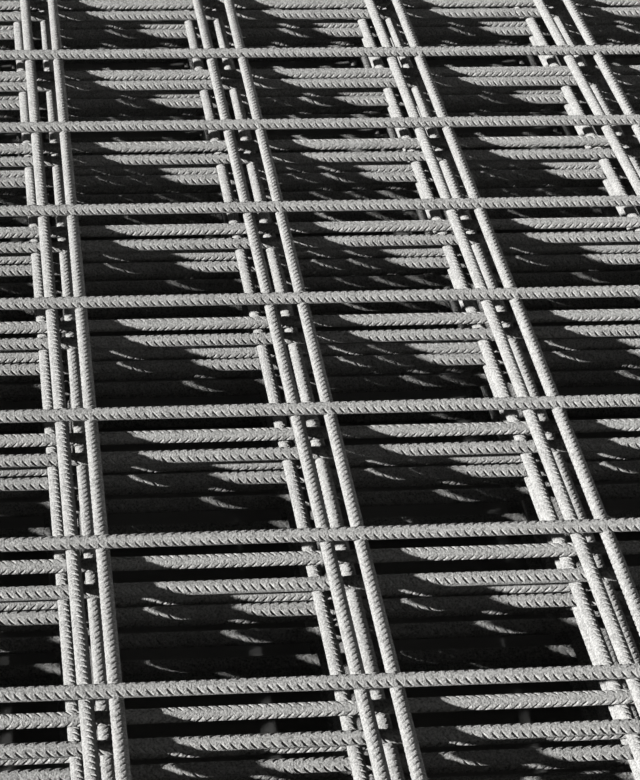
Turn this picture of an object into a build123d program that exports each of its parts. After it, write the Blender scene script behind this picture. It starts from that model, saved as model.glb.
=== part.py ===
"""A stack of welded reinforcing mesh: ten flat sheets of 8 mm ribbed bar.

Each sheet is one welded grid of long bars and cross bars, 150 mm apart. Every second sheet is
turned over, so that its long bars drop between those of its neighbour and the stack packs tight.

Millimetres, +Z up, +Y along the long bars, +X along the cross bars. The origin is on the floor,
under the middle of the stack.
"""
from build123d import *

from math import pi
import os

# The bar. Its ribs are left off, and its section is a hexagon with the round bar's area.
bar_diameter = 8.0
weld_sink = 0.8  # two crossing bars are pressed this far into each other where they are welded

# The sheet
long_bar_count = 7
long_bar_pitch = 150.0
long_bar_overhang = 100.0  # what a long bar reaches past the last cross bar
cross_bar_count = 13
cross_bar_pitch = 150.0
cross_bar_overhang = 50.0  # what a cross bar reaches past the last long bar

# The stack, from the top sheet down. The sheets were laid down by hand and lie a little apart:
# each pair is how far a sheet lies from the top one, along X and along Y.
sheet_shifts = [
    (0, 0),
    (-21, -7),
    (-8, -29),
    (-28, -18),
    (-4, -33),
    (-25, -21),
    (-10, -37),
    (-26, -18),
    (-10, -44),
    (-27, -34),
]
turned_sheet_skew = 0.4  # degrees by which the long bars of a turned sheet run out of square

# A bar keeps its half thickness outside and is flatter on the side that is welded.
outer_height = bar_diameter / 2
welded_height = (bar_diameter - weld_sink) / 2
layer_height = outer_height + welded_height
flat_width = 2 * (pi * bar_diameter**2 / 4 / layer_height) - bar_diameter

long_bar_length = (cross_bar_count - 1) * cross_bar_pitch + 2 * long_bar_overhang
cross_bar_length = (long_bar_count - 1) * long_bar_pitch + 2 * cross_bar_overhang


def bar(length: float, welded_side_up: bool) -> Part:
    """A straight bar along Y, centred, with its axis at the origin."""
    up = welded_height if welded_side_up else outer_height
    down = outer_height if welded_side_up else welded_height
    side = bar_diameter / 2
    flat = flat_width / 2
    section = Polyline(
        (flat, up),
        (-flat, up),
        (-side, 0),
        (-flat, -down),
        (flat, -down),
        (side, 0),
        close=True,
    )
    face = make_face(Plane.XZ * section)
    return Pos(0, length / 2, 0) * extrude(face, amount=length)


def centred_places(count: int, pitch: float) -> list[float]:
    """Places of evenly spaced bars, with their middle at zero."""
    return [(index - (count - 1) / 2) * pitch for index in range(count)]


def mesh_sheet(skew: float) -> Part:
    """One welded sheet, cross bars on top, with the plane of its welds at height zero."""
    cross_bar = Pos(0, 0, welded_height) * Rot(0, 0, 90) * bar(cross_bar_length, False)
    long_bar = Pos(0, 0, -welded_height) * Rot(0, 0, skew) * bar(long_bar_length, True)
    cross_bars = [Pos(0, y, 0) * cross_bar for y in centred_places(cross_bar_count, cross_bar_pitch)]
    long_bars = [Pos(x, 0, 0) * long_bar for x in centred_places(long_bar_count, long_bar_pitch)]
    return cross_bars[0].fuse(*cross_bars[1:], *long_bars)


# Lay the sheets: each goes one layer of bars lower than the one above it.
square_sheet = mesh_sheet(0)
turned_sheet = Rot(180, 0, 0) * mesh_sheet(-turned_sheet_skew)
sheets = {}
for index, (shift_x, shift_y) in enumerate(sheet_shifts):
    sheet = turned_sheet if index % 2 else square_sheet
    weld_plane = (len(sheet_shifts) - index) * layer_height
    sheets[f"mesh_sheet_{index + 1:02d}"] = Pos(shift_x, shift_y, weld_plane) * sheet

# Put the origin under the middle of the stack.
box = Compound(list(sheets.values())).bounding_box()
middle = Pos(-(box.min.X + box.max.X) / 2, -(box.min.Y + box.max.Y) / 2, -box.min.Z)

os.makedirs("parts", exist_ok=True)
for name, sheet in sheets.items():
    export_step(middle * sheet, f"parts/{name}.step")
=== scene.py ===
"""A stack of welded reinforcing mesh, dressed for its photograph.

Ten flat sheets of 8 mm ribbed bar lie on each other, every second one turned over.
Each sheet is one piece, built over its solid in the frame: round bars, their rolled ribs and the
squeezed metal of the welds. Metres, in the frame's own axes.
"""

from __future__ import annotations

import logging
import math
from dataclasses import dataclass, field
from enum import Enum

import bmesh
import bpy
import numpy as np
from mathutils import Matrix, Vector


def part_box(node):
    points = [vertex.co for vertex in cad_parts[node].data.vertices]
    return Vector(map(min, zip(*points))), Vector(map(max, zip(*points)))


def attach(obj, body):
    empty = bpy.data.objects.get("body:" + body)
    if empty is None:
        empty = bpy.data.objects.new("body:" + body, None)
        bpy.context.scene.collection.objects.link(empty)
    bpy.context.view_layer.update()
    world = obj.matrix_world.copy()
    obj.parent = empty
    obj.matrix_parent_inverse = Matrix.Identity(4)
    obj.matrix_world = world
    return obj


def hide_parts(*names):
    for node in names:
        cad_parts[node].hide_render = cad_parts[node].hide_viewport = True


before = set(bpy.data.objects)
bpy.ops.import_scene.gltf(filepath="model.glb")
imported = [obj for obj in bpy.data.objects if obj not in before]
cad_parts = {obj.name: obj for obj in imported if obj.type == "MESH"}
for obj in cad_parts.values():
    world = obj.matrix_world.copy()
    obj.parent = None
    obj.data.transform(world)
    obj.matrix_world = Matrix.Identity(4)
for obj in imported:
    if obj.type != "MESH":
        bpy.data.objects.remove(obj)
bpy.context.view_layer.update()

log = logging.getLogger("mesh_stack")

MM = 0.001


def linear(hex_colour: str, alpha: float = 1.0) -> tuple[float, float, float, float]:
    """Turns an sRGB hex colour to the linear values that Blender's sockets take.

    Args:
        hex_colour: six hex digits, with or without a leading #.
        alpha: opacity to put after the three values.

    Returns:
        Linear red, green and blue, and alpha.
    """
    digits = hex_colour.lstrip("#")
    srgb = [int(digits[place : place + 2], 16) / 255 for place in (0, 2, 4)]
    values = [c / 12.92 if c <= 0.04045 else ((c + 0.055) / 1.055) ** 2.4 for c in srgb]
    return (*values, alpha)


def add_node(
    tree: bpy.types.NodeTree,
    kind: str,
    settings: dict[str, object] | None = None,
    inputs: dict[str | int, object] | None = None,
) -> bpy.types.Node:
    """Adds one node, sets it and links what it takes.

    Args:
        tree: the material's or world's node tree.
        kind: Blender's name for the node.
        settings: the node's own attributes by name.
        inputs: a value or another node's output for each input, by name or number.

    Returns:
        The new node.
    """
    node = tree.nodes.new(kind)
    for name, value in (settings or {}).items():
        setattr(node, name, value)
    for name, value in (inputs or {}).items():
        if isinstance(value, bpy.types.NodeSocket):
            tree.links.new(value, node.inputs[name])
        else:
            node.inputs[name].default_value = value
    return node


class SideUp(Enum):
    """Which bars of a sheet lie on top."""

    CROSS_BARS = "cross bars"
    LONG_BARS = "long bars"


class RibRelief(Enum):
    """How a sheet's ribs are made: as carved shapes or in the bump of its steel."""

    SOLID = "solid"
    BUMP = "bump"


@dataclass(frozen=True)
class RibPattern:
    """Rolled ribs: three rows round the bar, with crescent hollows between the broad ribs.

    The rows lean in turn one way and the other, and a plain strip parts each from the next.
    """

    spacing: float = 5.4 * MM
    height: float = 0.7 * MM  # from the bottom of a hollow to the top of a rib
    hollow: float = 2.8 * MM  # across a hollow, along the bar
    foot_slope: float = 1.3  # of a rib's rounded flank, at its foot
    edge_slope: float = 0.55  # and where it meets the rib's top
    lean: float = 5.1 * MM  # how far a rib runs along the bar from one end of its arc to the other
    rows: int = 3
    row_share: float = 0.8  # of a row's part of the turn, the share that its ribs take
    flank_share: float = 0.67  # of a hollow's half arc, the share on which it runs out

    @property
    def row_angle(self) -> float:
        """The part of the turn that one row takes, in radians."""
        return 2 * math.pi / self.rows


@dataclass(frozen=True)
class RolledSteel:
    """Rolled ribbed bar, weathered to a matt pale grey.

    Rolling leaves a dull skin that dust and light oxide cover, so it scatters light like stone
    and only its mean colour is metal. The speckle is the grit of that skin.
    """

    name: str
    relief: RibRelief
    ribs: RibPattern
    pale: str = "#E2E1DE"
    dark: str = "#747370"
    metallic: float = 0.1
    roughness: float = 0.6
    chalkiness: float = 1.0  # dust sends light back evenly, from its edges too
    mottle: float = 9.0 * MM
    grit: float = 1.3 * MM  # coarser than the real grit, which is too fine to show
    mottle_contrast: float = 0.6
    grit_contrast: float = 2.6
    tone_offset: float = -0.9
    grain_height: float = 0.9 * MM  # drawn deep, for the same reason

    def material(self) -> bpy.types.Material:
        """Makes the steel.

        Returns:
            The new material.
        """
        steel = bpy.data.materials.new(self.name)
        steel.use_nodes = True
        tree = steel.node_tree
        shader = tree.nodes["Principled BSDF"]
        shader.inputs["Metallic"].default_value = self.metallic
        shader.inputs["Roughness"].default_value = self.roughness
        shader.inputs["Diffuse Roughness"].default_value = self.chalkiness
        place = add_node(tree, "ShaderNodeTexCoord").outputs["Object"]
        mottle = add_node(
            tree,
            "ShaderNodeTexNoise",
            inputs={"Vector": place, "Scale": 1 / self.mottle, "Detail": 4.0, "Roughness": 0.6},
        )
        grit = add_node(
            tree,
            "ShaderNodeTexNoise",
            inputs={"Vector": place, "Scale": 1 / self.grit, "Detail": 2.0, "Roughness": 0.7},
        )
        tone = add_node(
            tree,
            "ShaderNodeMath",
            {"operation": "MULTIPLY_ADD"},
            {0: grit.outputs["Fac"], 1: self.grit_contrast, 2: self.tone_offset},
        )
        tone = add_node(
            tree,
            "ShaderNodeMath",
            {"operation": "MULTIPLY_ADD", "use_clamp": True},
            {0: mottle.outputs["Fac"], 1: self.mottle_contrast, 2: tone.outputs[0]},
        )
        colour = add_node(
            tree,
            "ShaderNodeMix",
            {"data_type": "RGBA"},
            {0: tone.outputs[0], 6: linear(self.dark), 7: linear(self.pale)},
        )
        tree.links.new(colour.outputs[2], shader.inputs["Base Color"])
        grain = add_node(
            tree,
            "ShaderNodeBump",
            inputs={"Strength": 1.0, "Distance": self.grain_height, "Height": grit.outputs["Fac"]},
        )
        tree.links.new(self._rib_bump(tree, grain.outputs[0]), shader.inputs["Normal"])
        return steel

    def _rib_bump(
        self, tree: bpy.types.NodeTree, under: bpy.types.NodeSocket
    ) -> bpy.types.NodeSocket:
        """Draws the hollows in the bump, from how far along and round the bar a point lies.

        Args:
            tree: the steel's node tree.
            under: the normal that the ribs stand on.

        Returns:
            The normal with the ribs on it.
        """
        uv = add_node(tree, "ShaderNodeUVMap", {"uv_map": "bar"})
        axes = add_node(tree, "ShaderNodeSeparateXYZ", inputs={0: uv.outputs[0]})
        along, around = axes.outputs[0], axes.outputs[1]
        rows = add_node(
            tree, "ShaderNodeMath", {"operation": "MULTIPLY"}, {0: around, 1: float(self.ribs.rows)}
        ).outputs[0]
        zigzag = add_node(
            tree, "ShaderNodeMath", {"operation": "PINGPONG"}, {0: rows, 1: 1.0}
        ).outputs[0]
        lean = self.ribs.lean / self.ribs.spacing / self.ribs.row_share
        leaned = add_node(
            tree, "ShaderNodeMath", {"operation": "MULTIPLY_ADD"}, {0: zigzag, 1: -lean, 2: along}
        ).outputs[0]
        from_hollow = add_node(
            tree, "ShaderNodeMath", {"operation": "PINGPONG"}, {0: leaned, 1: 0.5}
        ).outputs[0]
        notch = add_node(
            tree,
            "ShaderNodeMapRange",
            inputs={
                0: from_hollow,
                1: 0.0,
                2: self.ribs.hollow / 2 / self.ribs.spacing,
                3: 1.0,
                4: 0.0,
            },
        ).outputs[0]
        arc = add_node(
            tree, "ShaderNodeMath", {"operation": "PINGPONG"}, {0: rows, 1: 0.5}
        ).outputs[0]
        half_arc = self.ribs.row_share / 2
        crescent = add_node(
            tree,
            "ShaderNodeMapRange",
            inputs={0: arc, 1: 0.5 - half_arc, 2: 0.5 - half_arc * (1 - self.ribs.flank_share)},
        ).outputs[0]
        if self.relief is RibRelief.SOLID:  # the other rows are carved
            first_row = add_node(
                tree, "ShaderNodeMath", {"operation": "LESS_THAN"}, {0: rows, 1: 1.0}
            ).outputs[0]
            crescent = add_node(
                tree, "ShaderNodeMath", {"operation": "MULTIPLY"}, {0: crescent, 1: first_row}
            ).outputs[0]
        depth = add_node(
            tree, "ShaderNodeMath", {"operation": "MULTIPLY"}, {0: notch, 1: crescent}
        ).outputs[0]
        bump = add_node(
            tree,
            "ShaderNodeBump",
            {"invert": True},
            {"Strength": 1.0, "Distance": self.ribs.height, "Height": depth, "Normal": under},
        )
        return bump.outputs[0]


@dataclass(frozen=True)
class PaleFloor:
    """Smooth concrete, plain and pale, which carries the stack's shadow."""

    name: str = "pale_concrete"
    colour: str = "#BDBCB9"
    bounced: str = "#4A4A48"  # what it gives back to the steel, so that the stack stays dark inside
    roughness: float = 0.8

    def material(self) -> bpy.types.Material:
        """Makes the floor's material.

        Returns:
            The new material.
        """
        concrete = bpy.data.materials.new(self.name)
        concrete.use_nodes = True
        tree = concrete.node_tree
        shader = tree.nodes["Principled BSDF"]
        shader.inputs["Roughness"].default_value = self.roughness
        rays = add_node(tree, "ShaderNodeLightPath")
        seen = add_node(
            tree,
            "ShaderNodeMath",
            {"operation": "MAXIMUM"},
            {0: rays.outputs["Is Camera Ray"], 1: rays.outputs["Is Glossy Ray"]},
        )
        colour = add_node(
            tree,
            "ShaderNodeMix",
            {"data_type": "RGBA"},
            {0: seen.outputs[0], 6: linear(self.bounced), 7: linear(self.colour)},
        )
        tree.links.new(colour.outputs[2], shader.inputs["Base Color"])
        return concrete


@dataclass
class Shape:
    """A small triangle mesh kept as arrays, to be repeated many times."""

    points: np.ndarray  # (n, 3)
    triangles: np.ndarray  # (m, 3)
    uvs: np.ndarray  # (m, 3, 2)
    normals: np.ndarray  # (m, 3, 3)

    @classmethod
    def from_bmesh(cls, bm: bmesh.types.BMesh, on_bar: bool) -> Shape:
        """Reads a bmesh, which is freed.

        Args:
            bm: the modelled mesh.
            on_bar: its smooth faces get the normals of a round bar along X. Where the faces have a
                layer "faces_end" and the points a layer "slope", these lean by both.

        Returns:
            Its arrays.
        """
        bmesh.ops.triangulate(bm, faces=bm.faces)
        bm.verts.index_update()
        layer = bm.loops.layers.uv.active
        points = np.array([v.co[:] for v in bm.verts])
        triangles = np.array([[v.index for v in f.verts] for f in bm.faces])
        if layer:
            uvs = np.array([[loop[layer].uv[:] for loop in f.loops] for f in bm.faces])
        else:
            uvs = np.zeros((len(triangles), 3, 2))
        if on_bar:
            rounded = points * (0, 1, 1)
            rounded /= np.maximum(np.linalg.norm(rounded, axis=1, keepdims=True), 1e-9)
        else:
            rounded = np.array([v.normal[:] for v in bm.verts])
        flat = np.array([f.normal[:] for f in bm.faces])
        smooth = np.array([f.smooth for f in bm.faces])
        normals = np.where(smooth[:, None, None], rounded[triangles], flat[:, None])
        slope = bm.verts.layers.float_vector.get("slope")
        faces_end = bm.faces.layers.float.get("faces_end")
        if slope and faces_end:
            slopes = np.array([v[slope][:] for v in bm.verts])[triangles]
            normals += slopes * np.array([f[faces_end] for f in bm.faces])[:, None, None]
            normals /= np.linalg.norm(normals, axis=-1, keepdims=True)
        bm.free()
        return cls(points, triangles, uvs, normals)


class Heap:
    """Gathers copies of shapes and joins them in one mesh."""

    def __init__(self) -> None:
        """Starts empty."""
        self.points: list[np.ndarray] = []
        self.triangles: list[np.ndarray] = []
        self.uvs: list[np.ndarray] = []
        self.normals: list[np.ndarray] = []
        self.count = 0

    def add(self, shape: Shape, points: np.ndarray, normals: np.ndarray) -> None:
        """Adds copies of a shape.

        Args:
            shape: what is repeated.
            points: the moved points of each copy, as (copies, points, 3).
            normals: the turned normals of its corners, as (copies, triangles, 3, 3).
        """
        copies, size = points.shape[:2]
        starts = self.count + size * np.arange(copies)
        self.points.append(points.reshape(-1, 3))
        self.triangles.append((shape.triangles[None] + starts[:, None, None]).reshape(-1, 3))
        self.uvs.append(np.tile(shape.uvs, (copies, 1, 1)))
        self.normals.append(normals.reshape(-1, 3))
        self.count += copies * size

    def mesh(self, name: str) -> bpy.types.Mesh:
        """Joins all copies.

        Args:
            name: the new mesh's name.

        Returns:
            The mesh, with its UV map and its own normals.
        """
        points = np.concatenate(self.points)
        triangles = np.concatenate(self.triangles)
        mesh = bpy.data.meshes.new(name)
        mesh.vertices.add(len(points))
        mesh.vertices.foreach_set("co", points.ravel())
        mesh.loops.add(triangles.size)
        mesh.loops.foreach_set("vertex_index", triangles.ravel())
        mesh.polygons.add(len(triangles))
        mesh.polygons.foreach_set("loop_start", 3 * np.arange(len(triangles)))
        mesh.uv_layers.new(name="bar").data.foreach_set("uv", np.concatenate(self.uvs).ravel())
        mesh.update(calc_edges=True)
        mesh.normals_split_custom_set(np.concatenate(self.normals).tolist())
        return mesh


@dataclass(frozen=True)
class RibbedBar:
    """One straight ribbed bar, modelled along X with its middle at the origin."""

    length: float
    relief: RibRelief
    ribs: RibPattern
    radius: float = 4.15 * MM  # over the ribs, which the plain strips between the rows reach too
    stretches: int = 12
    lip: float = 1.0 * MM  # at each cut end, where the bar isn't sunk under its ribs
    solid_rows: tuple[int, ...] = (1, 2)  # the rows that are carved, where a bar has solid ribs
    sunk: float = 0.15 * MM  # how far the bar lies under the hollows there

    def core(self) -> Shape:
        """Rolls a flat grid up to the bar and closes its cut ends.

        Under each solid row the bar is sunk, and the ribs cover it.

        Returns:
            The bar, with how far along (in rib spacings) and round it a point is as its UV map.
        """
        half_arc = self.ribs.row_share / 2
        flat_arc = half_arc * (1 - self.ribs.flank_share)
        stations = (0.0, 0.5 - half_arc, 0.5 - flat_arc, 0.5 + flat_arc, 0.5 + half_arc)
        sides = len(stations) * self.ribs.rows
        bm = bmesh.new()
        bm.loops.layers.uv.new("bar")
        bmesh.ops.create_grid(
            bm, x_segments=self.stretches, y_segments=sides, size=1.0, calc_uvs=True
        )
        layer = bm.loops.layers.uv.active
        around = {}
        for vert in bm.verts:
            row, station = divmod(round((vert.co.y + 1) / 2 * sides), len(stations))
            on_end = abs(vert.co.x) > 0.99
            carved = self.relief is RibRelief.SOLID and row in self.solid_rows
            radius = self.radius
            if carved and station in (2, 3) and not on_end:
                radius -= self.ribs.height + self.sunk
            reach = self.length / 2
            if not on_end:
                reach = (reach - self.lip) * self.stretches / (self.stretches - 2)
            around[vert] = (row + stations[station]) / self.ribs.rows
            angle = 2 * math.pi * around[vert] - math.pi
            vert.co = (vert.co.x * reach, -radius * math.sin(angle), radius * math.cos(angle))
        for face in bm.faces:
            face.smooth = True
            for loop in face.loops:
                loop[layer].uv = (loop.vert.co.x / self.ribs.spacing, around[loop.vert])
        bmesh.ops.remove_doubles(bm, verts=bm.verts, dist=0.1 * MM)
        ends = [edge for edge in bm.edges if edge.is_boundary]
        bmesh.ops.holes_fill(bm, edges=ends, sides=0)
        bmesh.ops.recalc_face_normals(bm, faces=bm.faces)
        return Shape.from_bmesh(bm, on_bar=True)

    def rib(self, row: int) -> Shape:
        """Bends a sheet round the bar to one rib, at the middle of the bar.

        It reaches from the bottom of one hollow to the bottom of the next, so that the ribs of a
        row stand foot to foot. Towards its ends the hollows run out and narrow to a point.

        Args:
            row: which of the rows round the bar it is in.

        Returns:
            The rib.
        """
        bm = bmesh.new()
        bmesh.ops.create_grid(bm, x_segments=3, y_segments=3, size=1.0)
        slope = bm.verts.layers.float_vector.new("slope")
        faces_end = bm.faces.layers.float.new("faces_end")
        for face in bm.faces:
            face.smooth = True
            face[faces_end] = round(face.calc_center_median().x * 1.5)  # -1 and 1 on the two flanks
        half_arc = self.ribs.row_share * self.ribs.row_angle / 2
        middle = -math.pi + (row + 0.5) * self.ribs.row_angle
        direction = -1 if row % 2 else 1
        for vert in bm.verts:
            on_end = abs(vert.co.y) > 0.5
            at_foot = abs(vert.co.x) > 0.5
            along = math.copysign(1.0 if on_end else 1 - self.ribs.flank_share, vert.co.y)
            from_hollow = 0.0 if at_foot or on_end else self.ribs.hollow / 2
            angle = middle + along * half_arc
            radius = self.radius - (self.ribs.height if at_foot and not on_end else 0.0)
            if not on_end:  # a flank faces across its rib, which leans
                across = direction * self.ribs.lean / (2 * half_arc * self.radius)
                steepness = self.ribs.foot_slope if at_foot else self.ribs.edge_slope
                vert[slope] = (
                    steepness,
                    steepness * across * math.cos(angle),
                    steepness * across * math.sin(angle),
                )
            vert.co = (
                math.copysign(self.ribs.spacing / 2 - from_hollow, vert.co.x)
                + direction * along * self.ribs.lean / 2,
                -radius * math.sin(angle),
                radius * math.cos(angle),
            )
        bmesh.ops.remove_doubles(bm, verts=bm.verts, dist=0.01 * MM)
        bm.normal_update()
        outward = sum(f.normal.dot(f.calc_center_median() * Vector((0, 1, 1))) for f in bm.faces)
        if outward < 0:
            bmesh.ops.reverse_faces(bm, faces=bm.faces)
        return Shape.from_bmesh(bm, on_bar=True)


@dataclass(frozen=True)
class BarRow:
    """The like bars of a sheet, side by side."""

    count: int
    welds: int  # how many bars each is welded to
    spread: Vector  # from one bar to the next
    height: float  # of their axes
    length: float
    turn: float  # their direction about Z, from X, in radians
    rolls: np.ndarray  # of each bar about its own axis, so that the ribs face as on the real sheet
    unrest: float  # how far a bar's roll strays from that, and how far it twists, in radians
    drifts: np.ndarray  # how far each bar lies from its even place, along the spread


@dataclass
class MeshSheet:
    """One welded sheet, in the place of its solid."""

    node: str
    side_up: SideUp
    relief: RibRelief
    steel: bpy.types.Material
    ribs: RibPattern
    long_bar_count: int = 7
    cross_bar_count: int = 13
    pitch: float = 150 * MM
    skew: float = 0.0  # how far the long bars run out of square, in radians
    seen_drifts: tuple[float, ...] = ()  # of the middle cross bars, in mm, from the nearest one on
    seen_long_drifts: tuple[float, ...] = ()  # of the middle long bars, in mm, from the left
    seen_long_rolls: tuple[float, ...] = ()  # of the same bars, in degrees past the others
    bow: float = 0.5 * MM
    axis_height: float = 3.0 * MM  # of a bar's axis from the welds, which are pressed that deep
    weld_flat: float = 5.0 * MM  # ribs are pressed flat this near to a weld
    weld_relief: float = 0.25  # of their height, what is left of the ribs at a weld
    rib_relief: tuple[float, float] = (0.8, 1.05)  # of their height, between which ribs differ
    drift: float = 0.9 * MM  # how far a bar strays whose place isn't seen
    weld_metal: tuple[float, float, float] = (4.6 * MM, 4.6 * MM, 2.3 * MM)  # half its size

    def build(self) -> bpy.types.Object:
        """Makes the sheet and puts it in place of its solid.

        Returns:
            The new piece.
        """
        low, high = (Vector(corner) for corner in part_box(self.node))
        middle = (low + high) / 2
        heap = Heap()
        draw = np.random.default_rng(int(self.node[-2:]))
        turned = self.side_up is SideUp.LONG_BARS
        side = -1 if turned else 1
        cross_bars = BarRow(
            count=self.cross_bar_count,
            welds=self.long_bar_count,
            spread=Vector((0, self.pitch, 0)),
            height=middle.z + side * self.axis_height,
            length=high.x - low.x,
            turn=math.pi if turned else 0.0,
            rolls=self._rolls(self.cross_bar_count, -112 if turned else -31, ()),
            unrest=math.radians(7),
            drifts=self._drifts(self.cross_bar_count, self.seen_drifts, draw),
        )
        long_bars = BarRow(
            count=self.long_bar_count,
            welds=self.cross_bar_count,
            spread=Vector((self.pitch, 0, 0)),
            height=middle.z - side * self.axis_height,
            length=high.y - low.y,
            turn=self.skew + math.pi / 2 * (3 if turned else 1),
            rolls=self._rolls(self.long_bar_count, -10 if turned else -105, self.seen_long_rolls),
            unrest=math.radians(12),
            drifts=self._drifts(self.long_bar_count, self.seen_long_drifts, draw),
        )
        for row in (cross_bars, long_bars):
            bar = RibbedBar(row.length, self.relief, self.ribs)
            core = bar.core()
            rib_shapes = []
            if self.relief is RibRelief.SOLID:
                rib_shapes = [bar.rib(number) for number in bar.solid_rows]
            for index in range(row.count):
                place = middle + row.spread * (index - (row.count - 1) / 2)
                place += row.spread.normalized() * row.drifts[index]
                place.z = row.height
                self._lay_bar(heap, bar, core, rib_shapes, place, row, row.rolls[index], draw)
        self._weld(heap, middle, cross_bars, long_bars)
        mesh = heap.mesh(f"{self.node}_ribbed")
        mesh.materials.append(self.steel)
        piece = bpy.data.objects.new(f"{self.node}_ribbed", mesh)
        bpy.context.scene.collection.objects.link(piece)
        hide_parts(self.node)
        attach(piece, "root")
        log.info("%s: %d triangles, %s ribs", piece.name, len(mesh.polygons), self.relief.value)
        return piece

    def _drifts(self, count: int, seen: tuple[float, ...], draw: np.random.Generator) -> np.ndarray:
        """Says how far each bar strays from its even place.

        Args:
            count: how many bars there are.
            seen: what the middle ones stray, in millimetres, in the order of the bars.
            draw: the sheet's random numbers, for the rest.

        Returns:
            The drifts in metres.
        """
        drifts = draw.normal(0, self.drift, count)
        first = (count - len(seen)) // 2
        drifts[first : first + len(seen)] = np.array(seen) * MM
        return drifts

    @staticmethod
    def _rolls(count: int, usual: float, seen: tuple[float, ...]) -> np.ndarray:
        """Says how each bar is rolled about its axis.

        Args:
            count: how many bars there are.
            usual: the roll of all, in degrees.
            seen: what the middle ones are rolled further, in degrees, in the order of the bars.

        Returns:
            The rolls in radians.
        """
        rolls = np.full(count, float(usual))
        first = (count - len(seen)) // 2
        rolls[first : first + len(seen)] += np.array(seen)
        return np.radians(rolls)

    def _lay_bar(
        self,
        heap: Heap,
        bar: RibbedBar,
        core: Shape,
        rib_shapes: list[Shape],
        place: Vector,
        row: BarRow,
        usual_roll: float,
        draw: np.random.Generator,
    ) -> None:
        """Adds one bar with its ribs.

        Args:
            heap: where the sheet is gathered.
            bar: the bar's sizes.
            core: the bar's round core.
            rib_shapes: one rib of each carved row.
            place: the middle of the bar's axis.
            row: the row of like bars it belongs to.
            usual_roll: its roll about its axis, before it strays.
            draw: the sheet's random numbers.
        """
        stray, twist = draw.normal(0, row.unrest, 2)
        phase = draw.uniform(-0.5, 0.5) * self.ribs.spacing
        bend = draw.normal(0, self.bow), draw.normal(0, self.bow / 2)

        def rolled(vectors: np.ndarray, x: np.ndarray) -> np.ndarray:
            """Rolls vectors about the bar's axis and turns them to its direction.

            Args:
                vectors: the vectors, for a bar along X.
                x: how far along the bar each is.

            Returns:
                The turned vectors.
            """
            roll = usual_roll + stray + twist * 2 * x / bar.length
            along, side, up = vectors[..., 0], vectors[..., 1], vectors[..., 2]
            side, up = (
                side * np.cos(roll) - up * np.sin(roll),
                side * np.sin(roll) + up * np.cos(roll),
            )
            cos, sin = math.cos(row.turn), math.sin(row.turn)
            return np.stack((along * cos - side * sin, along * sin + side * cos, up), axis=-1)

        def lay(shape: Shape, points: np.ndarray) -> None:
            """Adds copies of a shape, rolled, bent and laid with the bar.

            Args:
                shape: the shape.
                points: the points of each copy, for a bar along X.
            """
            x = points[..., 0]
            share = 2 * x / bar.length
            sideways = bend[0] * (0.5 - share**2) + bend[1] * np.sin(math.pi * share)
            across = np.array((-math.sin(row.turn), math.cos(row.turn), 0.0))
            laid = rolled(points, x) + np.array(place) + sideways[..., None] * across
            heap.add(shape, laid, rolled(shape.normals[None], x[:, shape.triangles]))

        lay(core, core.points[None])
        if not rib_shapes:
            return
        reach = (bar.length + self.ribs.spacing + self.ribs.lean) / 2
        count = int(2 * reach / self.ribs.spacing)
        steps = (np.arange(count) - (count - 1) / 2) * self.ribs.spacing + phase
        cells = steps / self.pitch + (row.welds - 1) / 2
        from_weld = np.abs(cells - np.clip(np.round(cells), 0, row.welds - 1)) * self.pitch
        fullness = np.clip(from_weld / self.weld_flat, self.weld_relief, 1.0)
        for rib_shape in rib_shapes:
            points = np.tile(rib_shape.points, (count, 1, 1))
            radius = np.hypot(points[..., 1], points[..., 2])
            worn = 1 - fullness * draw.uniform(*self.rib_relief, count)
            filled = (bar.radius - radius) * worn[:, None]
            points[..., 1] *= (radius + filled) / radius
            points[..., 2] *= (radius + filled) / radius
            x = points[..., 0] + steps[:, None]
            points[..., 0] = np.clip(x, -bar.length / 2, bar.length / 2)
            lay(rib_shape, points)

    def _weld(self, heap: Heap, middle: Vector, cross_bars: BarRow, long_bars: BarRow) -> None:
        """Adds the metal that each weld squeezes out between the bars.

        Args:
            heap: where the sheet is gathered.
            middle: the middle of the solid.
            cross_bars: the bars along X.
            long_bars: the bars along Y.
        """
        bm = bmesh.new()
        bmesh.ops.create_icosphere(bm, subdivisions=1, radius=1.0)
        bmesh.ops.scale(bm, vec=self.weld_metal, verts=bm.verts)
        for face in bm.faces:
            face.smooth = True
        bm.normal_update()
        nugget = Shape.from_bmesh(bm, on_bar=False)
        across = (np.arange(long_bars.count) - (long_bars.count - 1) / 2) * self.pitch
        along = (np.arange(cross_bars.count) - (cross_bars.count - 1) / 2) * self.pitch
        places = [
            (
                middle.x + x + x_drift - math.sin(self.skew) * y,
                middle.y + y + y_drift,
                middle.z,
            )
            for x, x_drift in zip(across, long_bars.drifts)
            for y, y_drift in zip(along, cross_bars.drifts)
        ]
        normals = np.tile(nugget.normals, (len(places), 1, 1, 1))
        heap.add(nugget, nugget.points[None] + np.array(places)[:, None], normals)


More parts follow.
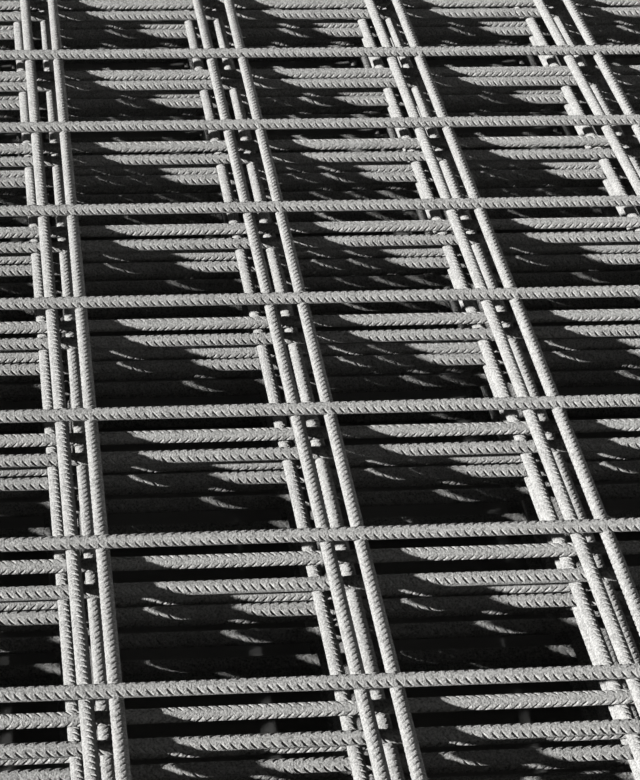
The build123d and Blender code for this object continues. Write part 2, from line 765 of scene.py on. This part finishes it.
@dataclass
class MeshStack:
    """The whole stack, from the top sheet down."""

    sheet_count: int = 10
    solid_ribs: int = 6  # how many sheets, from the top, have carved ribs
    turned_skew: float = math.radians(0.4)
    ribs: RibPattern = field(default_factory=RibPattern)
    seen_drifts: dict[int, tuple[float, ...]] = field(
        default_factory=lambda: {
            1: (-1.2, -1.6, -1.7, 2.8, -0.7, -0.8, -3.6),
            2: (0.7, 1.8, -2.1, 0.3, -2.0, -3.2, -9.2),
            3: (-1.5, -1.9, -1.3, 2.1, -1.0, -1.8, -4.6),
            4: (0.6, -2.6, -0.8, -2.1, -1.8, -3.8, -2.8),
            5: (-0.6, -0.9, -1.0, -2.0, -3.8, -3.0, -2.6),
        }
    )
    seen_long_drifts: dict[int, tuple[float, ...]] = field(
        default_factory=lambda: {
            1: (0.0, -0.7, 1.8, -0.4, 2.5),
            2: (0.0, 1.1, 0.2, 1.1, 1.7),
            3: (0.0, 0.9, 1.2, 1.6, 1.9),
            4: (0.0, 1.7, -0.1, 2.1, 1.7),
            5: (0.0, 0.8, 1.2, 1.8, 1.7),
            6: (1.0, 1.7, 0.0, 2.1, 2.1),
            7: (3.0, 3.0, 3.0, 3.0, 3.0),
            9: (3.0, 3.0, 3.0, 3.0, 3.0),
        }
    )
    seen_long_rolls: dict[int, tuple[float, ...]] = field(
        default_factory=lambda: {
            1: (0.0, 0.0, -28.0, 0.0, 0.0),
            2: (0.0, 0.0, -90.0, 0.0, 0.0),
            5: (0.0, 0.0, -28.0, 0.0, 0.0),
        }
    )

    def build(self) -> list[bpy.types.Object]:
        """Makes every sheet.

        Returns:
            The pieces, top sheet first.
        """
        steels = {
            relief: RolledSteel(f"rolled_steel_{relief.value}_ribs", relief, self.ribs).material()
            for relief in RibRelief
        }
        pieces = []
        for number in range(1, self.sheet_count + 1):
            relief = RibRelief.SOLID if number <= self.solid_ribs else RibRelief.BUMP
            turned = number % 2 == 0
            sheet = MeshSheet(
                node=f"mesh_sheet_{number:02d}",
                side_up=SideUp.LONG_BARS if turned else SideUp.CROSS_BARS,
                relief=relief,
                steel=steels[relief],
                ribs=self.ribs,
                skew=self.turned_skew if turned else 0.0,
                seen_drifts=self.seen_drifts.get(number, ()),
                seen_long_drifts=self.seen_long_drifts.get(number, ()),
                seen_long_rolls=self.seen_long_rolls.get(number, ()),
            )
            pieces.append(sheet.build())
        return pieces


@dataclass(frozen=True)
class Studio:
    """A pale floor, a low key light from the left and a weak fill from the sides."""

    floor_size: float = 80.0
    key_from: tuple[float, float, float] = (-0.881, -0.373, 0.291)
    key_strength: float = 5.45
    key_angle: float = math.radians(1.5)
    key_bounces: int = 0  # the key lights what it meets and no more, so the stack stays dark inside
    fill_strength: float = 0.55  # at the horizon, and nothing from straight above
    fill_falloff: float = 4.0
    fill_lean: float = 0.8  # how much stronger it is from the right, across from the key
    fill_behind: float = 1.5  # and from behind, where the key doesn't reach
    backdrop: str = "#E6E5E2"

    def build(self) -> None:
        """Makes the floor, the light and the world."""
        bm = bmesh.new()
        bmesh.ops.create_grid(bm, x_segments=1, y_segments=1, size=self.floor_size / 2)
        mesh = bpy.data.meshes.new("floor")
        bm.to_mesh(mesh)
        bm.free()
        mesh.materials.append(PaleFloor().material())
        floor = bpy.data.objects.new("floor", mesh)
        bpy.context.scene.collection.objects.link(floor)
        sun = bpy.data.lights.new("key", "SUN")
        sun.energy = self.key_strength
        sun.angle = self.key_angle
        sun.cycles.max_bounces = self.key_bounces
        key = bpy.data.objects.new("key", sun)
        key.rotation_euler = Vector(self.key_from).to_track_quat("Z", "Y").to_euler()
        bpy.context.scene.collection.objects.link(key)
        self._world()

    def _world(self) -> None:
        """Makes a world that fills the shadows from the sides and shows a pale backdrop."""
        world = bpy.data.worlds.new("studio")
        bpy.context.scene.world = world
        world.use_nodes = True
        tree = world.node_tree
        tree.nodes.clear()
        rays = add_node(tree, "ShaderNodeLightPath")
        place = add_node(tree, "ShaderNodeTexCoord").outputs["Generated"]
        axes = add_node(tree, "ShaderNodeSeparateXYZ", inputs={0: place})
        lowness = add_node(
            tree,
            "ShaderNodeMath",
            {"operation": "SUBTRACT", "use_clamp": True},
            {0: 1.0, 1: axes.outputs["Z"]},
        )
        band = add_node(
            tree,
            "ShaderNodeMath",
            {"operation": "POWER"},
            {0: lowness.outputs[0], 1: self.fill_falloff},
        )
        lean = add_node(
            tree,
            "ShaderNodeMath",
            {"operation": "MULTIPLY_ADD"},
            {0: axes.outputs["X"], 1: self.fill_strength * self.fill_lean, 2: self.fill_strength},
        )
        behind = add_node(
            tree, "ShaderNodeMath", {"operation": "MAXIMUM"}, {0: axes.outputs["Y"], 1: 0.0}
        )
        lean = add_node(
            tree,
            "ShaderNodeMath",
            {"operation": "MULTIPLY_ADD"},
            {0: behind.outputs[0], 1: self.fill_strength * self.fill_behind, 2: lean.outputs[0]},
        )
        strength = add_node(
            tree,
            "ShaderNodeMath",
            {"operation": "MULTIPLY"},
            {0: band.outputs[0], 1: lean.outputs[0]},
        )
        fill = add_node(
            tree, "ShaderNodeBackground", inputs={0: linear("#FFFFFF"), 1: strength.outputs[0]}
        )
        seen = add_node(tree, "ShaderNodeBackground", inputs={0: linear(self.backdrop), 1: 1.0})
        mix = add_node(
            tree,
            "ShaderNodeMixShader",
            inputs={0: rays.outputs["Is Camera Ray"], 1: fill.outputs[0], 2: seen.outputs[0]},
        )
        add_node(tree, "ShaderNodeOutputWorld", inputs={0: mix.outputs[0]})


@dataclass(frozen=True)
class PhotoCamera:
    """The photograph's viewpoint, from the top sheet's middle crossing."""

    node: str = "mesh_sheet_01"
    offset: tuple[float, float, float] = (-0.2166, -1.6475, 0.8502)
    yaw: float = math.radians(8.02)  # to the right of +Y
    tilt: float = math.radians(28.98)  # below the horizon
    roll: float = math.radians(2.50)  # the camera's right side is tipped up
    focal_pixels: float = 2724.0
    image_height: float = 780.0
    sensor: float = 36.0
    axis_height: float = 3.0 * MM  # of the cross bars' axes above the middle of the sheet

    def build(self) -> bpy.types.Object:
        """Makes the camera and takes the scene through it.

        Returns:
            The camera.
        """
        low, high = (Vector(corner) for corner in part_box(self.node))
        crossing = (low + high) / 2 + Vector((0, 0, self.axis_height))
        forward = Vector(
            (
                math.sin(self.yaw) * math.cos(self.tilt),
                math.cos(self.yaw) * math.cos(self.tilt),
                -math.sin(self.tilt),
            )
        )
        level = Vector((math.cos(self.yaw), -math.sin(self.yaw), 0.0))
        upright = level.cross(forward)
        right = level * math.cos(self.roll) + upright * math.sin(self.roll)
        up = upright * math.cos(self.roll) - level * math.sin(self.roll)
        turn = Matrix((right, up, -forward)).transposed().to_4x4()
        lens = bpy.data.cameras.new("photo_camera")
        lens.sensor_width = self.sensor
        lens.lens = self.focal_pixels / self.image_height * self.sensor
        lens.clip_start = 0.01
        lens.clip_end = 100.0
        camera = bpy.data.objects.new("photo_camera", lens)
        camera.matrix_world = Matrix.Translation(crossing + Vector(self.offset)) @ turn
        bpy.context.scene.collection.objects.link(camera)
        bpy.context.scene.camera = camera
        return camera


def main() -> None:
    """Builds the camera, the stack and the studio, and notes the sizes."""
    logging.basicConfig(level=logging.INFO, format="%(name)s: %(message)s")
    bpy.context.scene.view_settings.view_transform = "Standard"
    PhotoCamera().build()
    pieces = MeshStack().build()
    Studio().build()
    bpy.context.view_layer.update()
    log.info("%d pieces, %d triangles", len(pieces), sum(len(p.data.polygons) for p in pieces))


if __name__ == "__main__":
    main()
